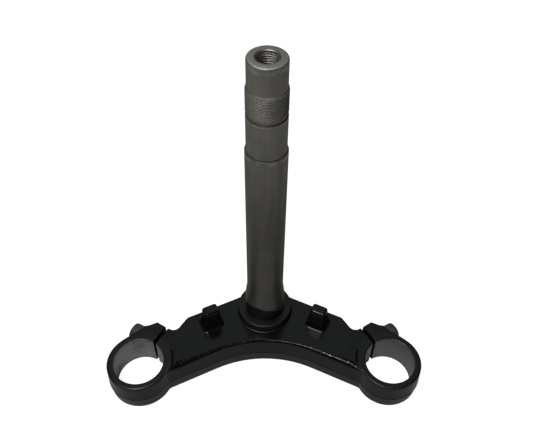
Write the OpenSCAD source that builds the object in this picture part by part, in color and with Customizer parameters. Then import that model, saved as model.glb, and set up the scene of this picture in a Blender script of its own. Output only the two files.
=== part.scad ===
// Lower triple clamp of a motorcycle: a forged bridge with two split fork clamps,
// a turned steering stem pressed and welded into it, and two pinch bolts.
// Millimetres. The origin is on the stem axis at the top face of the collar, where the
// lower steering bearing sits. +Z runs up the stem, -Y points to the front wheel.

/* [Layout] */
// Distance between the centres of the two fork legs
fork_spacing = 188; // [174:1:210]
// Distance of the fork legs in front of the stem axis
fork_offset = 45.5; // [36:0.5:56]

/* [Fork clamps] */
// Height of a fork clamp, between its two faces
clamp_h = 26.5; // [24:0.1:34]
// Bore of a clamp, which is the diameter of the fork leg
bore_d = 37; // [34:0.5:40]
// Wall of a clamp around its bore
ring_wall = 4.9; // [4:0.1:6.5]
// Chamfer at both mouths of a clamp bore
bore_chamfer = 0.4; // [0.2:0.1:0.8]
// Width of the flat that is cut around a clamp where the arm starts
ring_flat_w = 1.1; // [0.5:0.1:2]

/* [Slit and ears] */
// Width of the slit that lets a clamp close
slit_w = 2.5; // [1.6:0.1:3.4]
// Angle of the slit from the line between stem and fork leg
slit_turn = 32; // [26:1:38]
// Distance that the ears stand out past the clamp bore
ear_reach = 16.1; // [15:0.1:20]
// Width of the ear's end face, from the middle of the slit
ear_end_w = 9.6; // [7:0.2:12]
// Distance from the ear's end at which its bevelled corner starts
ear_bevel = 8.6; // [5:0.2:11]
// Angle around the clamp at which the ear runs into the ring
ear_tangent = 70; // [64:1:78]
// Width of the lip on the arm's side of the slit, from the middle of the slit
lip_w = 7.7; // [6:0.1:9.5]
// Radius of the notch behind the lip
notch_r = 5; // [2.5:0.25:5.5]

/* [Pinch bolts] */
// Thread diameter of a pinch bolt
bolt_d = 8; // [7:0.5:9]
// Length of a pinch bolt under its head
bolt_l = 35; // [30:1:42]
// Metal left between a clamp bore and its pinch bolt
bolt_web = 2; // [1.5:0.1:2.6]
// Distance of the bolt head's seat from the middle of the slit
seat_reach = 17.5; // [16.5:0.1:19.5]
// Hexagon of the bolt head, across its flats
hex_af = 13; // [12:0.5:14]
// Height of the bolt head with its flange
head_h = 9; // [7:0.25:10]
// Diameter of the flange under the bolt head
flange_d = 17; // [15.5:0.5:18]
// Thickness of the flange at its rim
flange_t = 1.3; // [1:0.1:1.8]
// Radial clearance of a pinch bolt in the hole of the ear
ear_hole_gap = 0.35; // [0.2:0.05:0.6]
// Radial clearance of a pinch bolt in its tapped hole
tap_gap = 0.05; // [0.03:0.01:0.1]
// Depth of the tapped hole past the end of the bolt
tap_extra = 3; // [2:0.5:6]
// Width of the machined seat around the flange
seat_margin = 0.9; // [0.5:0.1:1.4]

/* [Arms] */
// Half width of an arm in front of the line between stem and fork leg
arm_front = 17.6; // [16:0.2:19.4]
// Half width of an arm behind that line
arm_back = 20; // [18:0.2:21]
// Radius of the hollow between the two arms, at the front
hollow_r = 85; // [65:1:100]
// Radius where the front of an arm runs into a clamp
junction_r = 5; // [3:0.5:8]
// Radius of the shoulder at the rear end of an arm
shoulder_r = 3; // [1.5:0.25:4]
// Height of the raised top of the arms above the clamps
top_rise = 0.8; // [0.4:0.1:1.4]
// Rounding of the arms' top edge
top_edge_r = 1.25; // [1:0.05:1.5]
// Distance that the clamps and the hub stand down below the arms
pad_drop = 0.2; // [0.1:0.05:0.6]

/* [Forging] */
// Bulge of the side walls at the parting line, which the draft gives
draft_out = 0.7; // [0.5:0.05:1.2]
// Height of the parting line under the top of the clamps, as a share of the clamp height
parting_share = 0.57; // [0.45:0.01:0.65]
// Distance that the trimmed flash stands out at the parting line
flash_out = 0.25; // [0.1:0.05:0.4]
// Height of the trimmed flash
flash_h = 0.9; // [0.5:0.1:1.5]
// Rounding of the forging's edges
edge_r = 1.1; // [0.6:0.1:1.8]

/* [Hub and collar] */
// Diameter of the hub around the stem
hub_d = 45.6; // [44:0.2:50]
// Diameter of the collar that carries the lower bearing
collar_d = 41.6; // [38:0.2:43]
// Height of the collar above the arms
collar_h = 6.9; // [5:0.1:9]
// Rounding of the collar's top edge
collar_edge_r = 1.5; // [0.8:0.1:2]
// Fillet at the foot of the collar
collar_root_r = 1.7; // [1:0.1:2.4]

/* [Steering stops] */
// Distance of each steering stop to the side of the stem axis
stop_side = 41.2; // [38:0.2:46]
// Distance of each steering stop in front of the stem axis
stop_forward = 12.4; // [9:0.2:15]
// Height of a steering stop above the arm
stop_h = 18.5; // [10:0.1:20]
// Width of a steering stop at its foot, along the arm
stop_w = 14.8; // [12:0.2:17]
// Depth of a steering stop at its foot, across the arm
stop_d = 11.6; // [8:0.2:13]
// Draft angle of a steering stop's sides
stop_draft = 4.5; // [3:0.5:8]
// Rounding of a steering stop's edges
stop_edge_r = 1.9; // [0.8:0.1:2.4]
// Size of the fillet at a steering stop's foot
stop_root = 1.2; // [0.6:0.1:2]

/* [Steering stem] */
// Diameter of the lower bearing seat
seat_d = 30; // [29:0.1:32]
// Length of the lower bearing seat
seat_l = 16.2; // [12:0.2:24]
// Length of the taper above the lower bearing seat
taper_l = 13.3; // [8:0.1:18]
// Diameter of the stem between the two bearings
body_d = 26.8; // [26:0.1:28.6]
// Length of the stem between the taper and the upper bearing seat
body_l = 131.8; // [110:0.2:160]
// Diameter of the upper bearing seat and of the thread above it
upper_d = 25; // [24.4:0.1:25.8]
// Length of the upper bearing seat
upper_l = 25.6; // [20:0.2:32]
// Length of the threaded part, with its run-out groove
thread_l = 18.9; // [14:0.1:24]
// Width of the thread's run-out groove
groove_w = 1.8; // [1.2:0.1:2.6]
// Depth of the thread's run-out groove
groove_depth = 0.8; // [0.5:0.1:1.2]
// Diameter of the plain top of the stem, which holds the upper bridge
top_d = 23.4; // [22.4:0.1:24.2]
// Length of the plain top of the stem
top_l = 18; // [14:0.2:24]
// Rounding of the stem's top edge
top_round = 1.4; // [0.8:0.1:2]
// Core diameter of the tapped hole in the top of the stem
stem_hole_d = 12.9; // [12:0.1:13.4]
// Depth of the tapped hole in the top of the stem
stem_hole_l = 34; // [24:1:44]
// Width of the countersink at the mouth of the tapped hole
sink_w = 0.9; // [0.4:0.1:1.4]
// Diameter of the stem's shank inside the hub
shank_d = 28; // [27:0.1:28.6]
// Radial gap of the shank in the hub, which is a press fit on the real part
press_gap = 0.02; // [0.01:0.01:0.04]
// Size of the weld under the hub, around the end of the shank
weld_w = 3; // [2:0.1:4]
// Distance that the weld and the end of the shank stay above the underside
weld_inset = 0.5; // [0.3:0.1:1]

/* [Hidden] */
$fn = 96;

// Steps in the small roundings of a profile, facets of a blended shape, and steps in the
// hollow between the arms. The arms' top edge has fewer steps, whose levels stay clear of
// the top of the clamps
round_steps = 4;
top_steps = 3;
blend_facets = 32;
hollow_steps = 14;
// One overrun serves all cuts, one sink all walls that run into each other, and one gap
// in level keeps two crossing walls from sharing an edge
overrun = 2;
wall_sink = 0.15;
level_gap = 0.1;

// Levels, measured from the collar's top face
arm_top_z = -collar_h;
ring_top_z = arm_top_z - top_rise;
under_z = ring_top_z - clamp_h;
parting_z = ring_top_z - clamp_h * parting_share;
bolt_z = ring_top_z - clamp_h / 2;

// Plan sizes: an arm's frame has X from the stem to the fork leg, and Y to the rear
arm_turn = atan2(fork_offset, fork_spacing / 2);
arm_l = norm([fork_offset, fork_spacing / 2]);
bore_r = bore_d / 2;
ring_r = bore_r + ring_wall;
ring_flat_r = ring_r + ring_flat_w;
hollow_centre_y = -(arm_front + hollow_r) / cos(arm_turn);
junction_y = -(arm_front + junction_r);
junction_x = arm_l - sqrt(pow(ring_r + junction_r - wall_sink, 2) - pow(junction_y, 2));
junction_turn = atan2(-junction_y, arm_l - junction_x);

// Slit frame: X runs out along the slit from the bore's centre, Y points away from the arm
ear_end_x = bore_r + ear_reach;
bolt_x = bore_r + bolt_web + bolt_d / 2;
ear_side_x = ear_end_x - ear_bevel;
ear_side_y = (ring_r - wall_sink - ear_side_x * cos(ear_tangent)) / sin(ear_tangent);
shoulder_turn = 90 - slit_turn;
shoulder_x = ((lip_w + shoulder_r) * cos(slit_turn) + arm_back - shoulder_r) / sin(slit_turn);

// Pinch bolt
hex_r = hex_af / sqrt(3);
flange_r = flange_d / 2;
seat_r = flange_r + seat_margin;

// Steering stops: their size at the top follows from the draft
stop_turn = arm_turn;
stop_shrink = stop_h * tan(stop_draft);

// Stem levels
taper_z = seat_l;
body_z = taper_z + taper_l;
upper_z = body_z + body_l;
thread_z = upper_z + upper_l;
top_z = thread_z + thread_l;
stem_top_z = top_z + top_l;
shank_end_z = under_z + weld_inset;

// Points of an arc, from one angle to another
function arc(x, y, r, from, to, steps = round_steps) = [
    for (i = [0 : steps])
        let (a = from + (to - from) * i / steps)
            [x + r * cos(a), y + r * sin(a)]
];

// The forged side walls of a clamp and of an arm: distance out from the edge, and level
function lower_wall(low, flash) = concat(
    arc(-edge_r, low + edge_r, edge_r, -90, 0),
    [
        [draft_out, parting_z - flash],
        [draft_out + flash_out, parting_z - flash / 2],
        [draft_out + flash_out, parting_z + flash / 2],
        [draft_out, parting_z + flash]
    ]
);
function ring_wall_line() = concat(
    lower_wall(under_z, flash_h),
    arc(-edge_r, ring_top_z - edge_r, edge_r, 0, 90)
);
function arm_wall_line() = concat(
    lower_wall(under_z + pad_drop, flash_h - level_gap),
    arc(-top_edge_r, arm_top_z - top_edge_r, top_edge_r, 0, 90, top_steps)
);

// Points of the arm's frame and of the slit's frame in the part's frame
function from_arm(p) = [
    p[0] * cos(arm_turn) + p[1] * sin(arm_turn),
    -p[0] * sin(arm_turn) + p[1] * cos(arm_turn)
];
function from_slit(p) = from_arm([
    arm_l - p[0] * cos(slit_turn) + p[1] * sin(slit_turn),
    p[0] * sin(slit_turn) + p[1] * cos(slit_turn)
]);

// Frames
module arm_frame() {
    rotate(-arm_turn) children();
}
module slit_frame() {
    arm_frame() translate([arm_l, 0, 0]) rotate(-slit_turn) mirror([1, 0, 0]) children();
}
module along_bolt(from) {
    translate([bolt_x, from, bolt_z]) rotate([-90, 0, 0]) children();
}
module both_sides() {
    children();
    mirror([1, 0, 0]) children();
}

// A drum whose side is a forged wall
module drum(r) {
    rotate_extrude() polygon(concat(
        [[0, under_z]],
        [for (p = ring_wall_line()) [r + p[0], p[1]]],
        [[0, ring_top_z]]
    ));
}

// The front edge of an arm, offset outwards by e: the hollow, a straight and the corner
// that runs into the clamp, then the middle of the clamp
function front_edge(e) = concat(
    [
        for (i = [0 : hollow_steps])
            let (a = 90 - arm_turn * i / hollow_steps)
                [(hollow_r - e) * cos(a), hollow_centre_y + (hollow_r - e) * sin(a)]
    ],
    [
        for (p = arc(junction_x, junction_y, junction_r - e, 90, junction_turn))
            from_arm(p)
    ],
    [from_arm([arm_l, 0])]
);
// The rear edge, offset outwards by e, from the clamp's middle along the slit to the lip,
// round the notch and the shoulder, and back to the middle of the bridge
function rear_edge(e) = concat(
    [for (p = concat(
        [[ear_end_x + e, 0]],
        arc(ear_end_x + notch_r, notch_r - lip_w, notch_r - e, 180, 270),
        arc(shoulder_x, -lip_w - shoulder_r, shoulder_r + e, 90, shoulder_turn)
    )) from_slit(p)],
    [[0, (arm_back + e) / cos(arm_turn)]]
);
function right_edge(e) = concat(front_edge(e), rear_edge(e));
// The whole outline of the two arms, anticlockwise, without repeating the middle points
function arm_outline(e) =
    let (right = right_edge(e), last = len(right) - 1)
        concat(right, [for (i = [last - 1 : -1 : 1]) [-right[i][0], right[i][1]]]);

// The triangles that fill the outline: from the rear middle to the front edge, from the
// corner's start to the rear edge, and from the clamp's middle to the corner
function half_cap() =
    let (corner = hollow_steps + 1, middle = corner + round_steps + 1, last = len(right_edge(0)) - 1)
        concat(
            [for (i = [0 : corner - 1]) [i, i + 1, last]],
            [for (i = [middle : last - 1]) [corner, i, i + 1]],
            [for (i = [corner : middle - 2]) [i, i + 1, middle]]
        );
function arm_cap(count) = concat(
    half_cap(),
    [for (t = half_cap()) [for (i = [2 : -1 : 0]) (count - t[i]) % count]]
);

// Both arms as one loft: the outline at each level of the forged wall
module arms() {
    wall = arm_wall_line();
    count = len(arm_outline(0));
    top = count * (len(wall) - 1);
    difference() {
        polyhedron(
            points = [for (w = wall) for (p = arm_outline(w[0])) [p[0], p[1], w[1]]],
            faces = concat(
                arm_cap(count),
                [for (k = [0 : count : top - count], i = [0 : count - 1]) let (j = (i + 1) % count)
                    [k + i, k + count + i, k + count + j, k + j]],
                [for (t = arm_cap(count)) [top + t[2], top + t[1], top + t[0]]]
            )
        );
        both_sides() arm_frame() translate([arm_l, 0, ring_top_z])
            cylinder(h = top_rise + overrun, r = ring_flat_r);
    }
}

// The free ear of a clamp, with the round boss that the bolt head sits on
module ear() {
    slit_frame() {
        translate([0, 0, under_z]) linear_extrude(clamp_h) polygon([
            [0, 0],
            [ear_end_x, 0],
            [ear_end_x, ear_end_w],
            [ear_side_x, ear_side_y],
            [(ring_r - wall_sink) * cos(ear_tangent), (ring_r - wall_sink) * sin(ear_tangent)]
        ]);
        along_bolt(0) cylinder(h = seat_reach, r = seat_r);
    }
}

module collar() {
    r = collar_d / 2;
    rotate_extrude() polygon(concat(
        [[0, parting_z], [r + collar_root_r, parting_z]],
        arc(r + collar_root_r, arm_top_z + collar_root_r, collar_root_r, 270, 180),
        arc(r - collar_edge_r, -collar_edge_r, collar_edge_r, 0, 90),
        [[0, 0]]
    ));
}

// A steering stop: a drafted block with round edges on a small fillet
module steering_stop() {
    foot_z = arm_top_z;
    x = stop_w / 2 - stop_edge_r;
    y = stop_d / 2 - stop_edge_r;
    translate([stop_side, -stop_forward, 0]) rotate(-stop_turn) {
        hull() for (sx = [-1, 1], sy = [-1, 1]) {
            translate([sx * x, sy * y, foot_z - top_rise])
                cylinder(h = top_rise, r = stop_edge_r, $fn = blend_facets);
            translate([sx * (x - stop_shrink), sy * (y - stop_shrink), foot_z + stop_h - stop_edge_r])
                sphere(stop_edge_r, $fn = blend_facets);
        }
        hull() for (sx = [-1, 1], sy = [-1, 1]) translate([sx * x, sy * y, foot_z - top_rise])
            cylinder(
                h = top_rise + stop_root,
                r1 = stop_edge_r + stop_root + top_rise,
                r2 = stop_edge_r,
                $fn = blend_facets
            );
    }
}

module clamp_bore_cut() {
    arm_frame() translate([arm_l, 0, 0]) {
        translate([0, 0, under_z - overrun])
            cylinder(h = clamp_h + top_rise + 2 * overrun, r = bore_r);
        translate([0, 0, ring_top_z - bore_chamfer])
            cylinder(h = bore_chamfer + overrun, r1 = bore_r, r2 = bore_r + bore_chamfer + overrun);
        translate([0, 0, under_z - overrun])
            cylinder(h = bore_chamfer + overrun, r1 = bore_r + bore_chamfer + overrun, r2 = bore_r);
    }
}

module slit_cut() {
    slit_frame() {
        translate([0, -slit_w / 2, under_z - overrun])
            cube([ear_end_x + overrun, slit_w, clamp_h + top_rise + 2 * overrun]);
        along_bolt(0) cylinder(h = seat_reach + overrun, r = bolt_d / 2 + ear_hole_gap);
        along_bolt(seat_reach - bolt_l - tap_extra)
            cylinder(h = bolt_l + tap_extra - seat_reach, r = bolt_d / 2 + tap_gap);
        along_bolt(seat_reach) cylinder(h = head_h, r = seat_r);
    }
}

module stem_bore_cut() {
    shank_r = shank_d / 2 + press_gap;
    translate([0, 0, under_z - overrun])
        cylinder(h = overrun - under_z + overrun, r = shank_r);
    translate([0, 0, under_z - overrun])
        cylinder(h = weld_w + overrun, r1 = shank_r + weld_w + overrun, r2 = shank_r);
}

module bridge() {
    color([0.07, 0.07, 0.08]) difference() {
        union() {
            arms();
            drum(hub_d / 2);
            collar();
            both_sides() {
                arm_frame() translate([arm_l, 0, 0]) drum(ring_r);
                ear();
                steering_stop();
            }
        }
        both_sides() {
            clamp_bore_cut();
            slit_cut();
        }
        stem_bore_cut();
    }
}

// The stem is turned from one bar: its profile, from the shank's end to the top edge
module stem() {
    shank_r = shank_d / 2;
    color([0.32, 0.31, 0.29]) difference() {
        rotate_extrude() polygon(concat(
            [
                [0, shank_end_z],
                [shank_r, shank_end_z],
                [shank_r + weld_w - weld_inset, shank_end_z],
                [shank_r, shank_end_z + weld_w - weld_inset],
                [shank_r, 0],
                [seat_d / 2, 0],
                [seat_d / 2, taper_z],
                [body_d / 2, body_z],
                [body_d / 2, upper_z],
                [upper_d / 2, upper_z],
                [upper_d / 2, thread_z],
                [upper_d / 2 - groove_depth, thread_z],
                [upper_d / 2 - groove_depth, thread_z + groove_w],
                [upper_d / 2, thread_z + groove_w],
                [upper_d / 2, top_z],
                [top_d / 2, top_z]
            ],
            arc(top_d / 2 - top_round, stem_top_z - top_round, top_round, 0, 90),
            [[0, stem_top_z]]
        ));
        translate([0, 0, stem_top_z - stem_hole_l])
            cylinder(h = stem_hole_l + overrun, d = stem_hole_d);
        translate([0, 0, stem_top_z - sink_w])
            cylinder(
                h = sink_w + overrun,
                r1 = stem_hole_d / 2,
                r2 = stem_hole_d / 2 + sink_w + overrun
            );
        translate([0, 0, stem_top_z - stem_hole_l - stem_hole_d / 4])
            cylinder(h = stem_hole_d / 4, r1 = 0, r2 = stem_hole_d / 2);
    }
}

// A hexagon bolt with a flange, drawn along +Z with its seat at zero
module flange_bolt() {
    tip = bolt_d / 8;
    translate([0, 0, -bolt_l]) cylinder(h = tip, r1 = bolt_d / 2 - tip, r2 = bolt_d / 2);
    translate([0, 0, tip - bolt_l]) cylinder(h = bolt_l - tip, d = bolt_d);
    cylinder(h = flange_t, r = flange_r);
    translate([0, 0, flange_t]) cylinder(h = flange_t, r1 = flange_r, r2 = hex_r);
    intersection() {
        cylinder(h = head_h, r = hex_r, $fn = 6);
        cylinder(h = head_h, r1 = hex_r + head_h, r2 = hex_r - hex_r / 8);
    }
}

module right_pinch_bolt() {
    color([0.42, 0.42, 0.4]) slit_frame() along_bolt(seat_reach) flange_bolt();
}

module left_pinch_bolt() {
    color([0.42, 0.42, 0.4]) mirror([1, 0, 0])
        slit_frame() along_bolt(seat_reach) flange_bolt();
}

bridge();
stem();
left_pinch_bolt();
right_pinch_bolt();
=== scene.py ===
import bpy
import math
from mathutils import Matrix, Vector
from mathutils.bvhtree import BVHTree


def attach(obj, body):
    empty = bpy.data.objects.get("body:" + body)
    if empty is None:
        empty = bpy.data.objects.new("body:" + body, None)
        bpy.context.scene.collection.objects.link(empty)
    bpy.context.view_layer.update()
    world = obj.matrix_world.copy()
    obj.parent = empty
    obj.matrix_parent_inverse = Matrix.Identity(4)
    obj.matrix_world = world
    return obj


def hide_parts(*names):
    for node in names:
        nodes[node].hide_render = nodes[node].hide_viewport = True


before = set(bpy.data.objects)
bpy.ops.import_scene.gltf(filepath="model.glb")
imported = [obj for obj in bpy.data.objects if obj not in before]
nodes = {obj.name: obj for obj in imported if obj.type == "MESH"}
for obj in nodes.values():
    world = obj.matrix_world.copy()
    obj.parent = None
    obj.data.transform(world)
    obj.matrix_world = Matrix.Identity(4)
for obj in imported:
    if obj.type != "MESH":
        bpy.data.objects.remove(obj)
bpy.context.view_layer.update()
mm = 0.001

# Where the photo was taken from, solved from the bores, the collar and the steps of the stem
view = {
    "place": (-3.036 * mm, -283.944 * mm, 407.369 * mm),
    "yaw": -0.0367, "pitch": -0.8380, "roll": -0.0303,
    "focalPixels": 627.19, "centreX": 276.595, "centreY": 226.427,
    "width": 533, "height": 446, "sensor": 36.0,
}

cam = bpy.data.cameras.new("photoView")
cam.sensor_fit = "HORIZONTAL"
cam.sensor_width = view["sensor"]
cam.lens = view["focalPixels"] * view["sensor"] / view["width"]
cam.shift_x = -(view["centreX"] - view["width"] / 2) / view["width"]
cam.shift_y = (view["centreY"] - view["height"] / 2) / view["width"]
cam.clip_start = 0.01
cam.dof.use_dof = False
camObj = bpy.data.objects.new("photoView", cam)
bpy.context.scene.collection.objects.link(camObj)
cosY, sinY = math.cos(view["yaw"]), math.sin(view["yaw"])
cosP, sinP = math.cos(view["pitch"]), math.sin(view["pitch"])
levelRight = Vector((cosY, sinY, 0))
ahead = Vector((-sinY * cosP, cosY * cosP, sinP))
levelDown = ahead.cross(levelRight)
camRight = math.cos(view["roll"]) * levelRight + math.sin(view["roll"]) * levelDown
camDown = -math.sin(view["roll"]) * levelRight + math.cos(view["roll"]) * levelDown
camTurn = Matrix((camRight, -camDown, -ahead)).transposed().to_4x4()
camObj.matrix_world = Matrix.Translation(view["place"]) @ camTurn
bpy.context.scene.camera = camObj
print("camera set")


# small helpers for working as by hand

def pickOnly(obj):
    bpy.ops.object.select_all(action="DESELECT")
    obj.select_set(True)
    bpy.context.view_layer.objects.active = obj


def applyAll(obj):
    pickOnly(obj)
    for mod in list(obj.modifiers):
        bpy.ops.object.modifier_apply(modifier=mod.name)


def settle(obj):  # moves the place of an object into its mesh
    pickOnly(obj)
    bpy.ops.object.transform_apply(location=True, rotation=True, scale=True)


def mergeDoubles(obj, gap):
    pickOnly(obj)
    bpy.ops.object.mode_set(mode="EDIT")
    bpy.ops.mesh.select_all(action="SELECT")
    bpy.ops.mesh.remove_doubles(threshold=gap)
    bpy.ops.mesh.normals_make_consistent(inside=False)
    bpy.ops.object.mode_set(mode="OBJECT")


def cutWith(obj, tool, how):
    mod = obj.modifiers.new("cut", "BOOLEAN")
    mod.operation = how
    mod.solver = "EXACT"
    mod.object = tool
    applyAll(obj)
    bpy.data.objects.remove(tool, do_unlink=True)


def turnedPiece(name, profile, sides):
    # a round end face is extruded and scaled from ring to ring, as on a lathe
    radius, level = profile[0]
    bpy.ops.object.select_all(action="DESELECT")
    bpy.ops.mesh.primitive_circle_add(
        vertices=sides, radius=radius * mm, fill_type="NGON", location=(0, 0, level * mm))
    obj = bpy.context.active_object
    obj.name = obj.data.name = name
    settle(obj)
    bpy.ops.object.mode_set(mode="EDIT")
    bpy.ops.mesh.select_all(action="SELECT")
    for nextRadius, nextLevel in profile[1:]:
        bpy.ops.mesh.extrude_region_move(
            TRANSFORM_OT_translate={"value": (0, 0, (nextLevel - level) * mm)})
        ratio = nextRadius / radius
        bpy.ops.transform.resize(value=(ratio, ratio, 1), center_override=(0, 0, nextLevel * mm))
        radius, level = nextRadius, nextLevel
    bpy.ops.object.mode_set(mode="OBJECT")
    return obj


def ringCuts(obj, low, high, reach, cuts):
    # cuts the upright edges between two levels, for radii inside reach
    mesh = obj.data
    pickOnly(obj)
    bpy.context.tool_settings.mesh_select_mode = (False, True, False)
    bpy.ops.object.mode_set(mode="EDIT")
    bpy.ops.mesh.select_all(action="DESELECT")
    bpy.ops.object.mode_set(mode="OBJECT")
    for edge in mesh.edges:
        a, b = (mesh.vertices[i].co for i in edge.vertices)
        zLow, zHigh = sorted((a.z, b.z))
        away = math.hypot(a.x, a.y)
        edge.select = (
            zHigh - zLow > 1e-5 and zLow > low * mm - 1e-6 and zHigh < high * mm + 1e-6
            and reach[0] * mm < away < reach[1] * mm)
    bpy.ops.object.mode_set(mode="EDIT")
    bpy.ops.mesh.subdivide(number_cuts=cuts, smoothness=0)
    bpy.ops.object.mode_set(mode="OBJECT")
    bpy.context.tool_settings.mesh_select_mode = (True, False, False)


def cutThread(obj, low, high, reach, pitch, depth, inward):
    # a right-hand thread that fades out at both ends
    for vert in obj.data.vertices:
        x, y, z = (value / mm for value in vert.co)
        away = math.hypot(x, y)
        if not (low < z < high and reach[0] < away < reach[1]):
            continue
        phase = (z / pitch - math.atan2(y, x) / math.tau) % 1.0
        tooth = min(1.0, max(0.0, 1.25 * abs(2 * phase - 1) - 0.125))  # 1 in the root
        fade = min(1.0, (z - low) / pitch, (high - z) / pitch)
        change = depth * tooth * fade * (1 if inward else -1)
        ratio = (away - change) / away if inward else (away + depth * fade * (1 - tooth)) / away
        vert.co = (x * ratio * mm, y * ratio * mm, z * mm)


def smoothShade(obj, angle):
    pickOnly(obj)
    bpy.ops.object.shade_smooth_by_angle(angle=math.radians(angle))


def giveMaterial(obj, material):
    obj.data.materials.clear()
    obj.data.materials.append(material)


# node groups for the effects that several finishes share

def newGroup(name, inputs, outputs):
    group = bpy.data.node_groups.new(name, "ShaderNodeTree")
    for label, kind, value in inputs:
        socket = group.interface.new_socket(name=label, in_out="INPUT", socket_type=kind)
        if value is not None:
            socket.default_value = value
    for label, kind in outputs:
        group.interface.new_socket(name=label, in_out="OUTPUT", socket_type=kind)
    return group, group.nodes.new("NodeGroupInput"), group.nodes.new("NodeGroupOutput")


def addNode(tree, kind, settings=None, inputs=None):
    node = tree.nodes.new(kind)
    for key, value in (settings or {}).items():
        setattr(node, key, value)
    for key, value in (inputs or {}).items():
        if isinstance(value, bpy.types.NodeSocket):
            tree.links.new(value, node.inputs[key])
        else:
            node.inputs[key].default_value = value
    return node


def mathNode(tree, how, *values, clamp=False):
    inputs = {i: value for i, value in enumerate(values)}
    return addNode(tree, "ShaderNodeMath", {"operation": how, "use_clamp": clamp}, inputs).outputs[0]


def stepUp(tree, value, low, high):
    return addNode(tree, "ShaderNodeMapRange", {"interpolation_type": "SMOOTHSTEP"}, {
        "Value": value, "From Min": low, "From Max": high}).outputs["Result"]


def blendColour(tree, mask, a, b):
    node = addNode(tree, "ShaderNodeMix", {"data_type": "RGBA"}, {"Factor": mask})
    for index, value in ((6, a), (7, b)):
        if isinstance(value, bpy.types.NodeSocket):
            tree.links.new(value, node.inputs[index])
        else:
            node.inputs[index].default_value = (*value, 1.0)
    return node.outputs[2]


def blendValue(tree, mask, a, b):
    node = addNode(tree, "ShaderNodeMix", {"data_type": "FLOAT"}, {"Factor": mask})
    for index, value in ((2, a), (3, b)):
        if isinstance(value, bpy.types.NodeSocket):
            tree.links.new(value, node.inputs[index])
        else:
            node.inputs[index].default_value = value
    return node.outputs[0]


def makeForgedSkin():
    # height of a forged surface under paint, and soft blotches over it
    group, entry, out = newGroup("forgedSkin", [
        ("Vector", "NodeSocketVector", None),
        ("Lump Size", "NodeSocketFloat", 260.0),
        ("Grain Size", "NodeSocketFloat", 1500.0),
    ], [("Height", "NodeSocketFloat"), ("Blotch", "NodeSocketFloat")])
    lumps = addNode(group, "ShaderNodeTexNoise", None, {
        "Vector": entry.outputs["Vector"], "Scale": entry.outputs["Lump Size"], "Detail": 3.0})
    grain = addNode(group, "ShaderNodeTexNoise", None, {
        "Vector": entry.outputs["Vector"], "Scale": entry.outputs["Grain Size"], "Detail": 2.0})
    blotch = addNode(group, "ShaderNodeTexNoise", None, {
        "Vector": entry.outputs["Vector"], "Scale": 55.0, "Detail": 4.0, "Roughness": 0.6})
    height = mathNode(group, "MULTIPLY_ADD", grain.outputs["Fac"], 0.3, lumps.outputs["Fac"])
    group.links.new(height, out.inputs["Height"])
    group.links.new(stepUp(group, blotch.outputs["Fac"], 0.35, 0.68), out.inputs["Blotch"])
    return group


def makeEdgeWear():
    # finds edges by their rounded normal, and breaks them up into chips
    group, entry, out = newGroup("edgeWear", [
        ("Vector", "NodeSocketVector", None),
        ("Reach", "NodeSocketFloat", 0.0008),
        ("Amount", "NodeSocketFloat", 0.5),
    ], [("Edge", "NodeSocketFloat"), ("Chips", "NodeSocketFloat")])
    rounded = addNode(group, "ShaderNodeBevel", {"samples": 6}, {"Radius": entry.outputs["Reach"]})
    plain = addNode(group, "ShaderNodeNewGeometry")
    dot = addNode(group, "ShaderNodeVectorMath", {"operation": "DOT_PRODUCT"}, {
        0: rounded.outputs["Normal"], 1: plain.outputs["Normal"]}).outputs["Value"]
    edge = stepUp(group, mathNode(group, "SUBTRACT", 1.0, dot), 0.015, 0.12)
    spots = addNode(group, "ShaderNodeTexNoise", None, {
        "Vector": entry.outputs["Vector"], "Scale": 420.0, "Detail": 5.0, "Roughness": 0.7})
    limit = mathNode(group, "MULTIPLY_ADD", entry.outputs["Amount"], -0.3, 0.8)
    broken = mathNode(group, "GREATER_THAN", spots.outputs["Fac"], limit)
    group.links.new(edge, out.inputs["Edge"])
    group.links.new(mathNode(group, "MULTIPLY", broken, edge), out.inputs["Chips"])
    return group


def makeTurningMarks():
    # fine rings that a lathe leaves round an upright axis, with faint streaks along it
    group, entry, out = newGroup("turningMarks", [
        ("Vector", "NodeSocketVector", None),
        ("Ring Size", "NodeSocketFloat", 2600.0),
    ], [("Height", "NodeSocketFloat"), ("Streaks", "NodeSocketFloat")])
    flat = addNode(group, "ShaderNodeMapping", {"vector_type": "POINT"}, {
        "Vector": entry.outputs["Vector"], "Scale": (0.02, 0.02, 1.0)})
    rings = addNode(group, "ShaderNodeTexNoise", None, {
        "Vector": flat.outputs["Vector"], "Scale": entry.outputs["Ring Size"], "Detail": 2.0})
    tall = addNode(group, "ShaderNodeMapping", {"vector_type": "POINT"}, {
        "Vector": entry.outputs["Vector"], "Scale": (1.0, 1.0, 0.12)})
    streaks = addNode(group, "ShaderNodeTexNoise", None, {
        "Vector": tall.outputs["Vector"], "Scale": 240.0, "Detail": 5.0, "Roughness": 0.6})
    group.links.new(rings.outputs["Fac"], out.inputs["Height"])
    group.links.new(stepUp(group, streaks.outputs["Fac"], 0.3, 0.72), out.inputs["Streaks"])
    return group


forgedSkin = makeForgedSkin()
edgeWear = makeEdgeWear()
turningMarks = makeTurningMarks()


def newMaterial(name):
    material = bpy.data.materials.new(name)
    material.use_nodes = True
    tree = material.node_tree
    place = addNode(tree, "ShaderNodeTexCoord").outputs["Object"]
    return material, tree, tree.nodes["Principled BSDF"], place


def useGroup(tree, group, inputs):
    return addNode(tree, "ShaderNodeGroup", {"node_tree": group}, inputs)


def addBump(tree, shader, height, strength, distance):
    bump = addNode(tree, "ShaderNodeBump", None, {
        "Height": height, "Strength": strength, "Distance": distance})
    tree.links.new(bump.outputs["Normal"], shader.inputs["Normal"])


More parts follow.
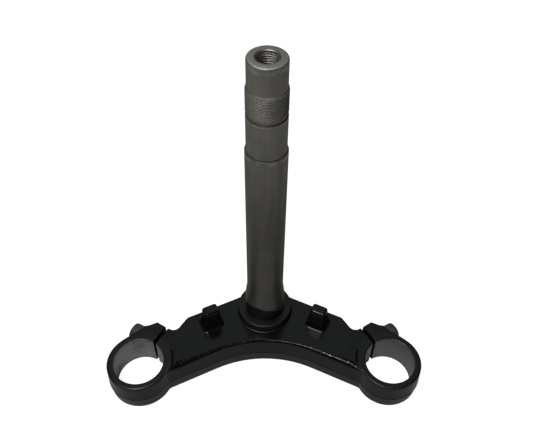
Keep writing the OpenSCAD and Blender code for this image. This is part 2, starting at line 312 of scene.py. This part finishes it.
paintLook = {
    "black": (0.0040, 0.0043, 0.0045), "dust": (0.0062, 0.0064, 0.0062),
    "bare": (0.30, 0.29, 0.27), "sheen": (0.93, 1.0, 0.975, 1.0),
    "shine": {"top": 0.5, "arm": 0.45, "clamp": 0.56, "faced": 0.63, "rolled": 0.12, "stop": 0.38}, "roughLow": 0.17, "roughHigh": 0.24,
}
boreLook = {
    "centre": (94.0 * mm, -45.5 * mm), "radius": 18.5 * mm, "mouth": 0.30 * mm,
    "flat": 24.4 * mm, "rim": 22.6 * mm, "flatLevel": -8.0 * mm, "collar": 21.5 * mm, "satin": 0.36,
    "dots": [(97.37 * mm, -27.31 * mm, -20.75 * mm), (104.48 * mm, -30.25 * mm, -23.5 * mm)],
    # the lighter steel for the left bore is painted light; both bores are the same steel
    "steel": (0.30, 0.30, 0.285), "paintedLightLeftSteel": (0.42, 0.42, 0.395), "smudge": (0.10, 0.10, 0.092),
    "stop": (41.2 * mm, -12.4 * mm, 0.0), "stopReach": 15.0 * mm, "stopFoot": -5.6 * mm, "stopTop": 10.4 * mm,
    "collarSide": 24.0 * mm, "collarWall": 20.6 * mm, "edgeFoot": -9.6 * mm, "edgeLow": -8.0 * mm, "edgeHigh": -7.03 * mm, "edgeTop": -6.93 * mm,
    "armSlope": 0.484, "edgeAcross": -14.5 * mm,
}


def makeBridgePaint():
    material, tree, shader, place = newMaterial("bridgePaint")
    skin = useGroup(tree, forgedSkin, {"Vector": place})
    wear = useGroup(tree, edgeWear, {"Vector": place, "Amount": 0.55})
    marks = useGroup(tree, turningMarks, {"Vector": place, "Ring Size": 1900.0})
    xyz = addNode(tree, "ShaderNodeSeparateXYZ", None, {0: place})
    sideways = mathNode(tree, "SUBTRACT", mathNode(tree, "ABSOLUTE", xyz.outputs["X"]), boreLook["centre"][0])
    forwards = mathNode(tree, "SUBTRACT", xyz.outputs["Y"], boreLook["centre"][1])
    away = mathNode(tree, "SQRT", mathNode(
        tree, "ADD", mathNode(tree, "MULTIPLY", sideways, sideways), mathNode(tree, "MULTIPLY", forwards, forwards)))
    bore = mathNode(tree, "LESS_THAN", away, boreLook["radius"] + boreLook["mouth"])
    paint = blendColour(tree, skin.outputs["Blotch"], paintLook["black"], paintLook["dust"])
    specks = addNode(tree, "ShaderNodeTexNoise", None, {
        "Vector": place, "Scale": 1000.0, "Detail": 3.0, "Roughness": 0.6}).outputs["Fac"]
    across = mathNode(tree, "MULTIPLY_ADD", sideways, boreLook["armSlope"], forwards)
    outer = mathNode(tree, "MULTIPLY", mathNode(tree, "LESS_THAN", across, boreLook["edgeAcross"]), mathNode(
        tree, "GREATER_THAN", away, boreLook["rim"]))
    onEdge = mathNode(tree, "MULTIPLY", outer, mathNode(
        tree, "MULTIPLY", mathNode(tree, "GREATER_THAN", xyz.outputs["Z"], boreLook["edgeLow"]), mathNode(
            tree, "LESS_THAN", xyz.outputs["Z"], boreLook["edgeHigh"])))
    chips = mathNode(tree, "MAXIMUM", wear.outputs["Chips"], mathNode(
        tree, "MULTIPLY", onEdge, mathNode(tree, "MULTIPLY", stepUp(tree, specks, 0.58, 0.64), 0.5)))
    painted = blendColour(tree, chips, paint, paintLook["bare"])
    smudges = addNode(tree, "ShaderNodeTexNoise", None, {
        "Vector": place, "Scale": 95.0, "Detail": 6.0, "Roughness": 0.65, "Distortion": 0.6})
    leftSide = stepUp(tree, xyz.outputs["X"], 0.01, -0.01)
    smudged = mathNode(tree, "MULTIPLY", stepUp(tree, smudges.outputs["Fac"], 0.50, 0.66), leftSide)
    for dot in boreLook["dots"]:
        gap = addNode(tree, "ShaderNodeVectorMath", {"operation": "DISTANCE"}, {0: place, 1: dot}).outputs["Value"]
        smudged = mathNode(tree, "MAXIMUM", smudged, stepUp(tree, gap, 0.75 * mm, 0.35 * mm))
    # painted light: the left bore's steel is painted lighter than the right bore's
    steel = blendColour(tree, leftSide, boreLook["steel"], boreLook["paintedLightLeftSteel"])
    steel = blendColour(tree, mathNode(tree, "MULTIPLY", smudged, 0.5), steel, boreLook["smudge"])
    tree.links.new(blendColour(tree, bore, painted, steel), shader.inputs["Base Color"])
    bareMask = mathNode(tree, "MAXIMUM", bore, chips)
    tree.links.new(bareMask, shader.inputs["Metallic"])
    rough = blendValue(tree, skin.outputs["Blotch"], paintLook["roughLow"], paintLook["roughHigh"])
    fromStem = addNode(tree, "ShaderNodeVectorMath", {"operation": "LENGTH"}, {
        0: addNode(tree, "ShaderNodeCombineXYZ", None, {0: xyz.outputs["X"], 1: xyz.outputs["Y"]}).outputs[0]})
    faced = mathNode(tree, "MAXIMUM", mathNode(tree, "LESS_THAN", away, boreLook["flat"]), mathNode(
        tree, "LESS_THAN", fromStem.outputs["Value"], boreLook["collar"]))
    upper = mathNode(tree, "GREATER_THAN", xyz.outputs["Z"], boreLook["flatLevel"])
    facedTop = mathNode(tree, "MULTIPLY", faced, upper)
    rough = blendValue(tree, facedTop, rough, boreLook["satin"])
    folded = addNode(tree, "ShaderNodeCombineXYZ", None, {
        0: mathNode(tree, "ABSOLUTE", xyz.outputs["X"]), 1: xyz.outputs["Y"]})
    fromStop = addNode(tree, "ShaderNodeVectorMath", {"operation": "DISTANCE"}, {
        0: folded.outputs[0], 1: boreLook["stop"]}).outputs["Value"]
    stopSide = mathNode(tree, "MULTIPLY", mathNode(tree, "LESS_THAN", fromStop, boreLook["stopReach"]), mathNode(
        tree, "MULTIPLY", mathNode(tree, "GREATER_THAN", xyz.outputs["Z"], boreLook["stopFoot"]), mathNode(
            tree, "LESS_THAN", xyz.outputs["Z"], boreLook["stopTop"])))
    collarSide = mathNode(tree, "MULTIPLY", mathNode(tree, "LESS_THAN", fromStem.outputs["Value"], boreLook["collarSide"]), mathNode(
        tree, "GREATER_THAN", xyz.outputs["Z"], boreLook["stopFoot"]))
    rough = blendValue(tree, mathNode(tree, "MAXIMUM", stopSide, collarSide), rough, 0.36)
    collarFront = mathNode(tree, "MULTIPLY", collarSide, mathNode(
        tree, "MULTIPLY", mathNode(tree, "GREATER_THAN", fromStem.outputs["Value"], boreLook["collarWall"]),
        stepUp(tree, xyz.outputs["Y"], -9 * mm, -16 * mm)))
    rough = blendValue(tree, collarFront, rough, 0.68)
    frontOfArm = mathNode(tree, "MULTIPLY", mathNode(tree, "LESS_THAN", across, boreLook["edgeAcross"]), mathNode(
        tree, "GREATER_THAN", away, boreLook["flat"]))
    rolled = mathNode(tree, "MULTIPLY", frontOfArm, mathNode(
        tree, "MULTIPLY", stepUp(tree, xyz.outputs["Z"], boreLook["edgeTop"], boreLook["edgeHigh"]), stepUp(
            tree, xyz.outputs["Z"], boreLook["edgeFoot"], boreLook["edgeLow"])))
    level = paintLook["shine"]
    wallShine = blendValue(tree, stepUp(tree, away, 27.5 * mm, 23.5 * mm), level["arm"], level["clamp"])
    shine = blendValue(tree, stepUp(tree, xyz.outputs["Z"], boreLook["edgeLow"], boreLook["edgeFoot"]), level["top"], wallShine)
    shine = blendValue(tree, facedTop, shine, level["faced"])
    shine = blendValue(tree, stopSide, blendValue(tree, rolled, shine, level["rolled"]), level["stop"])
    tree.links.new(shine, shader.inputs["Specular IOR Level"])
    shader.inputs["Specular Tint"].default_value = paintLook["sheen"]
    tree.links.new(blendValue(tree, bore, rough, 0.42), shader.inputs["Roughness"])
    height = blendValue(tree, bore, skin.outputs["Height"], marks.outputs["Height"])
    addBump(tree, shader, height, 0.2, 0.06 * mm)
    return material


stemLook = {
    "coat": (0.205, 0.200, 0.175), "light": (0.43, 0.42, 0.375), "dirt": (0.09, 0.087, 0.073),
    # painted light: the second colour below makes the steel lighter towards its top, by height alone
    "paintedLightFrom": 80 * mm, "paintedLightTo": 230 * mm, "inside": (0.34, 0.335, 0.315), "insideRadius": 7.6 * mm,
    # dirt and painted shade: the dark corner colour for the groove and the ledge corner
    "cornerDirtAndShade": (0.045, 0.043, 0.037), "dirtAndShadeBands": [(186.9 * mm, 187.5 * mm), (161.3 * mm, 161.7 * mm)],
    # painted highlight: the first list of bands gets bright lines on the chamfers and the top round
    "glintBands": [(219.5 * mm, 222.6 * mm), (158.8 * mm, 160.9 * mm), (185.9 * mm, 186.8 * mm)], "bandSoft": 0.5 * mm,
    # painted highlight: the near-white rim colour is painted as glints on the top rim and the thread
    "face": (0.44, 0.43, 0.40), "rim": (0.75, 0.74, 0.70), "rimRadius": 10.3 * mm, "faceLevel": 223.3 * mm, "thread": (188.7 * mm, 205.4 * mm),
    "paint": (0.0075, 0.0085, 0.0062), "paintTop": 3.5 * mm, "paintWave": 2.5 * mm, "paintTilt": (0.275, 0.68, 1.0),
}


def bandMask(tree, height, band):
    rising = stepUp(tree, height, band[0] - stemLook["bandSoft"], band[0])
    falling = stepUp(tree, height, band[1], band[1] + stemLook["bandSoft"])
    return mathNode(tree, "SUBTRACT", rising, falling)


def makeStemSteel():
    material, tree, shader, place = newMaterial("stemSteel")
    skin = useGroup(tree, forgedSkin, {"Vector": place, "Lump Size": 900.0, "Grain Size": 3800.0})
    marks = useGroup(tree, turningMarks, {"Vector": place})
    wear = useGroup(tree, edgeWear, {"Vector": place, "Reach": 0.0006, "Amount": 0.9})
    xyz = addNode(tree, "ShaderNodeSeparateXYZ", None, {0: place})
    # painted light: the stem is painted lighter towards its top, as the light falls there
    paintedLightRise = stepUp(tree, xyz.outputs["Z"], stemLook["paintedLightFrom"], stemLook["paintedLightTo"])
    coat = blendColour(tree, paintedLightRise, stemLook["coat"], stemLook["light"])
    dirty = mathNode(tree, "MULTIPLY", mathNode(tree, "ADD", skin.outputs["Blotch"], marks.outputs["Streaks"]), 0.16)
    coat = blendColour(tree, dirty, coat, stemLook["dirt"])
    coat = blendColour(tree, mathNode(tree, "MULTIPLY", wear.outputs["Edge"], 0.45), coat, (0.55, 0.54, 0.50))
    fromAxis = addNode(tree, "ShaderNodeVectorMath", {"operation": "LENGTH"}, {
        0: addNode(tree, "ShaderNodeCombineXYZ", None, {0: xyz.outputs["X"], 1: xyz.outputs["Y"]}).outputs[0]})
    inside = mathNode(tree, "LESS_THAN", fromAxis.outputs["Value"], stemLook["insideRadius"])
    onFace = stepUp(tree, xyz.outputs["Z"], stemLook["faceLevel"] - 0.4 * mm, stemLook["faceLevel"] + 0.4 * mm)
    coat = blendColour(tree, onFace, coat, stemLook["face"])
    coat = blendColour(tree, inside, coat, stemLook["inside"])
    # painted highlight: bright glints speckled over the top rim, and fainter over the thread
    specks = stepUp(tree, addNode(tree, "ShaderNodeTexNoise", None, {
        "Vector": place, "Scale": 1500.0, "Detail": 2.0, "Roughness": 0.6}).outputs["Fac"], 0.52, 0.60)
    rim = mathNode(tree, "MULTIPLY", onFace, mathNode(tree, "GREATER_THAN", fromAxis.outputs["Value"], stemLook["rimRadius"]))
    inThread = mathNode(tree, "MULTIPLY", mathNode(tree, "GREATER_THAN", xyz.outputs["Z"], stemLook["thread"][0]), mathNode(
        tree, "LESS_THAN", xyz.outputs["Z"], stemLook["thread"][1]))
    paintedGlints = mathNode(tree, "MULTIPLY", specks, mathNode(tree, "MAXIMUM", rim, mathNode(tree, "MULTIPLY", inThread, 0.4)))
    coat = blendColour(tree, paintedGlints, coat, stemLook["rim"])
    edgeNoise = addNode(tree, "ShaderNodeTexNoise", None, {
        "Vector": place, "Scale": 130.0, "Detail": 5.0, "Roughness": 0.75})
    # painted highlight: bright lines on the chamfers and the top round, broken up by noise
    glintBreaks = stepUp(tree, edgeNoise.outputs["Fac"], 0.42, 0.62)
    for band in stemLook["glintBands"]:
        bandGlint = mathNode(tree, "MULTIPLY", bandMask(tree, xyz.outputs["Z"], band), mathNode(tree, "MULTIPLY", glintBreaks, 0.55))
        coat = blendColour(tree, bandGlint, coat, stemLook["rim"])
    # dirt and painted shade: dark lines in the groove and in the corner of the ledge
    for band in stemLook["dirtAndShadeBands"]:
        dirtAndShade = mathNode(tree, "MULTIPLY", bandMask(tree, xyz.outputs["Z"], band), 0.5)
        coat = blendColour(tree, dirtAndShade, coat, stemLook["cornerDirtAndShade"])
    wave = mathNode(tree, "MULTIPLY", mathNode(tree, "SUBTRACT", edgeNoise.outputs["Fac"], 0.5), 2 * stemLook["paintWave"])
    tilted = addNode(tree, "ShaderNodeVectorMath", {"operation": "DOT_PRODUCT"}, {0: place, 1: stemLook["paintTilt"]})
    level = mathNode(tree, "ADD", tilted.outputs["Value"], wave)
    bare = stepUp(tree, level, stemLook["paintTop"] - 0.4 * mm, stemLook["paintTop"] + 0.4 * mm)
    tree.links.new(blendColour(tree, bare, stemLook["paint"], coat), shader.inputs["Base Color"])
    tree.links.new(mathNode(tree, "MULTIPLY", bare, 0.92), shader.inputs["Metallic"])
    rough = blendValue(tree, marks.outputs["Streaks"], 0.46, 0.56)
    rough = blendValue(tree, mathNode(tree, "MAXIMUM", inThread, onFace), rough, 0.62)
    rough = blendValue(tree, inside, rough, 0.5)
    tree.links.new(blendValue(tree, bare, 0.5, rough), shader.inputs["Roughness"])
    tree.links.new(blendValue(tree, bare, 0.25, 0.5), shader.inputs["Specular IOR Level"])
    height = mathNode(tree, "ADD", marks.outputs["Height"], mathNode(tree, "MULTIPLY", skin.outputs["Height"], 0.5))
    addBump(tree, shader, height, 0.4, 0.06 * mm)
    return material


boltLook = {"zinc": (0.20, 0.20, 0.185), "dull": (0.12, 0.12, 0.113)}


def makeBoltZinc():
    material, tree, shader, place = newMaterial("boltZinc")
    skin = useGroup(tree, forgedSkin, {"Vector": place, "Lump Size": 700.0, "Grain Size": 3200.0})
    wear = useGroup(tree, edgeWear, {"Vector": place, "Reach": 0.0005, "Amount": 0.8})
    colour = blendColour(tree, skin.outputs["Blotch"], boltLook["zinc"], boltLook["dull"])
    colour = blendColour(tree, mathNode(tree, "MULTIPLY", wear.outputs["Edge"], 0.3), colour, (0.40, 0.40, 0.38))
    tree.links.new(colour, shader.inputs["Base Color"])
    shader.inputs["Metallic"].default_value = 0.85
    tree.links.new(blendValue(tree, skin.outputs["Blotch"], 0.42, 0.6), shader.inputs["Roughness"])
    addBump(tree, shader, skin.outputs["Height"], 0.35, 0.05 * mm)
    return material


bridgePaint = makeBridgePaint()
stemSteel = makeStemSteel()
boltZinc = makeBoltZinc()
print("materials made")


# The forged bridge: the CAD solid with the soft edges that forging and paint give

bridgeShape = {
    "voxel": 0.42 * mm, "softness": 0.5, "softRounds": 2, "edgeRounds": 6, "triangles": 190000,
    "clamp": (94.0, -45.5), "armTurn": 25.8287, "flatRadius": 24.5, "flatLevel": -7.7, "topLevel": -6.9,
    "stepMiddle": -9.0, "stepHalf": 2.0, "stepEnd": 9.0, "fadeReach": 14.0, "rampWidth": 1.4,
    "roundLow": 1.25, "roundMiddle": 2.2, "roundEnd": 3.9, "roundFrom": 18.0, "roundTo": 58.0, "roundReach": 8.0,
    "wallLevel": -12.0,
    "collarReach": 24.5, "stop": (41.2, -12.4), "stopReach": 12.0,
    "partLevel": -22.8, "partWidth": 0.5, "partDepth": 0.65, "partReach": 22.0,
    "collarCorners": [(19.3, -1.5, 1), (22.5, -5.2, -1)], "cornerReach": 2.4, "cornerPower": 6,
}


def smoothStep(value, low, high):
    share = min(1.0, max(0.0, (value - low) / (high - low)))
    return share * share * (3 - 2 * share)


def softenEdge(vert, surface, top, reach):
    # rolls the top over into the wall with a wide round, where the wall is near
    b = bridgeShape
    x, y, z = (value / mm for value in vert.co)
    spot, normal, index, gap = surface.find_nearest((x * mm, y * mm, b["wallLevel"] * mm), (reach + 0.5) * mm)
    if spot is None or abs(normal.z) > 0.5:
        return
    inward = -Vector((normal.x, normal.y)).normalized()
    depth = (Vector((x, y)) - Vector((spot.x, spot.y)) / mm).dot(inward)
    side, rise = depth - reach, z - (top - reach)
    length = math.hypot(side, rise)
    if side < 0 < rise and length > reach:
        move = inward * (reach + side * reach / length - depth)
        vert.co = ((x + move.x) * mm, (y + move.y) * mm, (top - reach + rise * reach / length) * mm)


def shapeTop(obj):
    # the top runs out level with the clamp, with a short step left at its middle
    b = bridgeShape
    turn = math.radians(b["armTurn"])
    surface = BVHTree.FromObject(obj, bpy.context.evaluated_depsgraph_get())
    soft = []
    for vert in obj.data.vertices:
        x, y, z = (value / mm for value in vert.co)
        x = abs(x)
        away = math.dist((x, y), b["clamp"])
        if not b["topLevel"] - b["roundEnd"] - 0.2 < z < b["topLevel"] + 0.2 or away < b["flatRadius"] - 0.6:
            continue
        top = b["topLevel"]
        across = math.sin(turn) * (x - b["clamp"][0]) + math.cos(turn) * (y - b["clamp"][1])
        if away < b["flatRadius"] + b["fadeReach"]:
            fade = smoothStep(abs(across - b["stepMiddle"]), b["stepHalf"], b["stepEnd"])
            fade *= 1 - smoothStep(away, b["flatRadius"], b["flatRadius"] + b["fadeReach"])
            fade = max(fade, 1 - smoothStep(away, b["flatRadius"], b["flatRadius"] + b["rampWidth"]))
            top = b["flatLevel"] + (top - b["flatLevel"]) * (1 - fade)
            if z > b["flatLevel"]:
                vert.co.z = (b["flatLevel"] + (z - b["flatLevel"]) * (1 - fade)) * mm
        if away < b["flatRadius"]:
            continue
        reach = b["roundMiddle"] + (b["roundEnd"] - b["roundMiddle"]) * smoothStep(x, b["roundFrom"], b["roundTo"])
        share = smoothStep(away, b["flatRadius"], b["flatRadius"] + b["roundReach"])
        if across < 0:
            softenEdge(vert, surface, top, b["roundLow"] + (reach - b["roundLow"]) * share)
        if math.hypot(x, y) > b["collarReach"] and math.dist((x, y), b["stop"]) > b["stopReach"]:
            soft.append(vert.index)
    obj.vertex_groups.new(name="longEdges").add(soft, 1.0, "REPLACE")


def markPartLine(obj):
    # a fine groove where the two dies met
    b = bridgeShape
    moves = []
    for vert in obj.data.vertices:
        near = 1 - abs(vert.co.z / mm - b["partLevel"]) / b["partWidth"]
        if near > 0 and math.dist((abs(vert.co.x) / mm, vert.co.y / mm), b["clamp"]) > b["partReach"]:
            moves.append((vert, vert.normal * b["partDepth"] * near * mm))
    for vert, move in moves:
        vert.co -= move


def tightenCollar(obj):
    # the collar is turned, so its corners are crisper than those of the forging
    b = bridgeShape
    for vert in obj.data.vertices:
        x, y, z = (value / mm for value in vert.co)
        fromAxis = math.hypot(x, y)
        if fromAxis > 23.5 or z < -7.5:
            continue
        for radius, level, side in b["collarCorners"]:
            across, up = side * (fromAxis - radius), side * (z - level)
            length = math.hypot(across, up)
            if across > 0 and up > 0 and length < b["cornerReach"]:
                power = b["cornerPower"]
                stretch = ((across / length) ** power + (up / length) ** power) ** (-1 / power)
                ratio = (radius + side * across * stretch) / fromAxis
                vert.co = (x * ratio * mm, y * ratio * mm, (level + side * up * stretch) * mm)


def makeBridge():
    obj = nodes["bridge"].copy()
    obj.data = nodes["bridge"].data.copy()
    obj.name = obj.data.name = "forgedBridge"
    for key in list(obj.keys()):
        del obj[key]
    obj.parent = None
    bpy.context.scene.collection.objects.link(obj)
    mergeDoubles(obj, 0.002 * mm)
    remesh = obj.modifiers.new("skin", "REMESH")
    remesh.mode = "VOXEL"
    remesh.voxel_size = bridgeShape["voxel"]
    applyAll(obj)
    shapeTop(obj)
    for group, rounds in (("longEdges", bridgeShape["edgeRounds"]), ("", bridgeShape["softRounds"])):
        soften = obj.modifiers.new("soft", "SMOOTH")
        soften.factor = bridgeShape["softness"]
        soften.iterations = rounds
        soften.vertex_group = group
    applyAll(obj)
    markPartLine(obj)
    tightenCollar(obj)
    thin = obj.modifiers.new("thin", "DECIMATE")
    thin.ratio = bridgeShape["triangles"] / (2 * len(obj.data.polygons))
    applyAll(obj)
    pickOnly(obj)
    bpy.ops.object.shade_smooth()
    giveMaterial(obj, bridgePaint)
    print("bridge triangles", sum(len(p.vertices) - 2 for p in obj.data.polygons))
    return obj


# The turned stem, with its fine outer thread and the tapped hole

stemShape = {
    "sides": 128,
    "outline": [
        (14.0, -33.7), (14.0, 0.0), (15.0, 0.0), (15.0, 15.9), (14.9, 16.2), (13.4, 29.5), (13.4, 160.6),
        (12.9, 161.3), (12.5, 161.3), (12.5, 186.9), (11.7, 186.9), (11.7, 188.7), (12.2, 188.9),
        (12.2, 205.2), (11.7, 205.8), (11.7, 222.4), (11.61, 222.9), (11.38, 223.32), (11.0, 223.62),
        (10.4, 223.8),
        (7.0, 223.8), (6.45, 223.25), (6.45, 190.0), (0.4, 186.8),
    ],
    "thread": {"low": 188.9, "high": 205.2, "pitch": 1.0, "depth": 0.3},
    "tapped": {"low": 192.0, "high": 223.25, "pitch": 1.5, "depth": 0.55},
    "cutsPerTurn": 8,
}


def makeStem():
    s = stemShape
    obj = turnedPiece("turnedStem", s["outline"], s["sides"])
    outer, inner = s["thread"], s["tapped"]
    for part, reach in ((outer, (12.05, 12.35)), (inner, (6.3, 6.6))):
        low = part["low"] if part is outer else 190.0
        turns = round((part["high"] - low) / part["pitch"])
        ringCuts(obj, low, part["high"], reach, turns - 1)
        ringCuts(obj, low, part["high"], reach, s["cutsPerTurn"] - 1)
    cutThread(obj, outer["low"], outer["high"], (12.05, 12.35), outer["pitch"], outer["depth"], False)
    cutThread(obj, inner["low"], inner["high"], (6.3, 6.6), inner["pitch"], -inner["depth"], True)
    smoothShade(obj, 28)
    giveMaterial(obj, stemSteel)
    print("stem triangles", sum(len(p.vertices) - 2 for p in obj.data.polygons))
    return obj


# A flange bolt, drawn upright with its seat at zero, then laid into its clamp

boltShape = {
    "hexFlats": 13.0, "headHeight": 9.0, "flangeRadius": 8.5, "flangeEdge": 1.3, "length": 35.0,
    "shank": 4.0, "threadLength": 22.0, "pitch": 1.25, "depth": 0.6,
    "along": 24.5, "seat": 17.5, "level": -20.95, "armLength": 104.43374, "armTurn": 25.8287, "slitTurn": 32.0,
}


def slitPoint(u, v):
    # a place in the frame of the right clamp's slit, in the frame of the part
    turn, arm = math.radians(boltShape["slitTurn"]), math.radians(boltShape["armTurn"])
    x = boltShape["armLength"] - u * math.cos(turn) + v * math.sin(turn)
    y = u * math.sin(turn) + v * math.cos(turn)
    return Vector((x * math.cos(arm) + y * math.sin(arm), -x * math.sin(arm) + y * math.cos(arm), 0))


def makeBolt(name, side):
    b = boltShape
    hexRadius = b["hexFlats"] / math.sqrt(3)
    body = turnedPiece(name, [
        (b["shank"] - 0.9, -b["length"]), (b["shank"] - 0.1, -b["length"] + 0.8),
        (b["shank"] - 0.1, -b["length"] + b["threadLength"]), (b["shank"], -b["length"] + b["threadLength"] + 0.4),
        (b["shank"], 0.0), (b["flangeRadius"] - 0.3, 0.0), (b["flangeRadius"], 0.3),
        (b["flangeRadius"], b["flangeEdge"] - 0.3), (b["flangeRadius"] - 0.35, b["flangeEdge"]),
        (hexRadius + 0.1, 2.5), (hexRadius - 1.2, 3.2)], 64)
    low, high = -b["length"] + 0.8, -b["length"] + b["threadLength"]
    ringCuts(body, low, high, (3.8, 3.95), 16)
    ringCuts(body, low, high, (3.8, 3.95), 7)
    cutThread(body, low, high, (3.8, 3.95), b["pitch"], b["depth"], True)
    bpy.ops.object.select_all(action="DESELECT")
    bpy.ops.mesh.primitive_cylinder_add(
        vertices=6, radius=hexRadius * mm, depth=(b["headHeight"] - 0.6) * mm,
        location=(0, 0, (b["headHeight"] + 0.6) / 2 * mm))
    head = bpy.context.active_object
    settle(head)
    bpy.ops.object.select_all(action="DESELECT")
    bpy.ops.mesh.primitive_cone_add(
        vertices=96, radius1=(hexRadius + 9.6) * mm, radius2=(hexRadius - 0.9) * mm, depth=b["headHeight"] * mm,
        location=(0, 0, b["headHeight"] / 2 * mm))
    crown = bpy.context.active_object
    settle(crown)
    cutWith(head, crown, "INTERSECT")
    edges = head.modifiers.new("edges", "BEVEL")
    edges.width = 0.22 * mm
    edges.segments = 2
    edges.limit_method = "ANGLE"
    edges.angle_limit = math.radians(35)
    applyAll(head)
    cutWith(body, head, "UNION")
    place = slitPoint(b["along"], b["seat"])
    out = (slitPoint(b["along"], b["seat"] + 1) - place).normalized()
    sideAxis = Vector((0, 0, 1))
    third = sideAxis.cross(out)
    turn = Matrix((sideAxis, -third, out)).transposed().to_4x4()
    if turn.determinant() < 0:
        turn = Matrix((sideAxis, third, out)).transposed().to_4x4()
    laid = Matrix.Translation((place.x * mm, place.y * mm, b["level"] * mm)) @ turn
    body.data.transform(laid)
    if side < 0:
        body.data.transform(Matrix.Scale(-1, 4, (1, 0, 0)))
        mergeDoubles(body, 0.0005 * mm)
    smoothShade(body, 30)
    giveMaterial(body, boltZinc)
    return body


# The weld bead that joins the shank to the hub, underneath

weldShape = {"ring": 16.0, "size": 1.75, "level": -33.05, "ripples": 46}


def makeWeld():
    w = weldShape
    bpy.ops.object.select_all(action="DESELECT")
    bpy.ops.mesh.primitive_torus_add(
        major_radius=w["ring"] * mm, minor_radius=w["size"] * mm, major_segments=276, minor_segments=16,
        location=(0, 0, w["level"] * mm))
    obj = bpy.context.active_object
    obj.name = obj.data.name = "hubWeld"
    settle(obj)
    for vert in obj.data.vertices:
        x, y = vert.co.x, vert.co.y
        turn = math.atan2(y, x)
        scale = math.hypot(x, y)
        ripple = abs(math.sin(turn * w["ripples"] / 2 + 6 * (scale / mm - w["ring"]) / w["ring"]))
        drop = (vert.co.z / mm - w["level"]) * (0.42 + 0.14 * ripple + 0.05 * math.sin(5 * turn))
        vert.co.z = (w["level"] + drop) * mm
    pickOnly(obj)
    bpy.ops.object.shade_smooth()
    giveMaterial(obj, bridgePaint)
    return obj


bridge = makeBridge()
stem = makeStem()
rightBolt = makeBolt("rightFlangeBolt", 1)
leftBolt = makeBolt("leftFlangeBolt", -1)
weld = makeWeld()
pieces = [
    (bridge, "bridge", "bridge_paint"), (stem, "stem", "stem_steel"),
    (rightBolt, "right_pinch_bolt", "bolt_steel"), (leftBolt, "left_pinch_bolt", "bolt_steel"),
    (weld, None, "bridge_paint"),
]
for piece, node, slot in pieces:
    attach(piece, "root")
    if node:
        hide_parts(node)
for name, material in (("bridge", bridgePaint), ("stem", stemSteel), ("left_pinch_bolt", boltZinc), ("right_pinch_bolt", boltZinc)):
    giveMaterial(nodes[name], material)
print("pieces made")


# Floor and light: a pale floor plane, one soft light above and a weaker, wider card behind

stage = {
    "floorLevel": -34.25 * mm, "floorSize": 8.0, "floorColour": (0.56, 0.56, 0.56), "floorLift": 0.9,
    "sky": (1.0, 1.0, 1.0), "skyStrength": 0.032,
    "lights": [
        ("overhead", (-0.28, -0.36, 1.25), (0, 0, 0), 0.42, 7.3),
        ("backCard", (0.0, 0.85, 1.25), (0, 0, 0.05), 1.2, 1.1),
    ],
}


def makeStage():
    bpy.ops.object.select_all(action="DESELECT")
    bpy.ops.mesh.primitive_plane_add(size=stage["floorSize"], location=(0, 0, stage["floorLevel"]))
    floor = bpy.context.active_object
    floor.name = "floor"
    material = bpy.data.materials.new("paleFloor")
    material.use_nodes = True
    tree = material.node_tree
    shader = tree.nodes["Principled BSDF"]
    shader.inputs["Base Color"].default_value = (*stage["floorColour"], 1)
    shader.inputs["Roughness"].default_value = 0.9
    shader.inputs["Specular IOR Level"].default_value = 0.1
    shader.inputs["Emission Color"].default_value = (1, 1, 1, 1)
    seen = addNode(tree, "ShaderNodeLightPath").outputs["Is Camera Ray"]
    tree.links.new(mathNode(tree, "MULTIPLY", seen, stage["floorLift"]), shader.inputs["Emission Strength"])
    giveMaterial(floor, material)
    world = bpy.data.worlds.new("studio")
    world.use_nodes = True
    background = world.node_tree.nodes["Background"]
    background.inputs["Color"].default_value = (*stage["sky"], 1)
    seen = addNode(world.node_tree, "ShaderNodeLightPath").outputs["Is Camera Ray"]
    world.node_tree.links.new(
        blendValue(world.node_tree, seen, stage["skyStrength"], 1.0), background.inputs["Strength"])
    bpy.context.scene.world = world
    for name, place, target, size, power in stage["lights"]:
        light = bpy.data.lights.new(name, "AREA")
        light.size = size
        light.energy = power
        obj = bpy.data.objects.new(name, light)
        aim = Vector(target) - Vector(place)
        obj.matrix_world = Matrix.Translation(place) @ aim.to_track_quat("-Z", "Y").to_matrix().to_4x4()
        bpy.context.scene.collection.objects.link(obj)


makeStage()
bpy.context.scene.view_settings.view_transform = "Standard"
bpy.context.scene.view_settings.look = "None"
print("stage set")
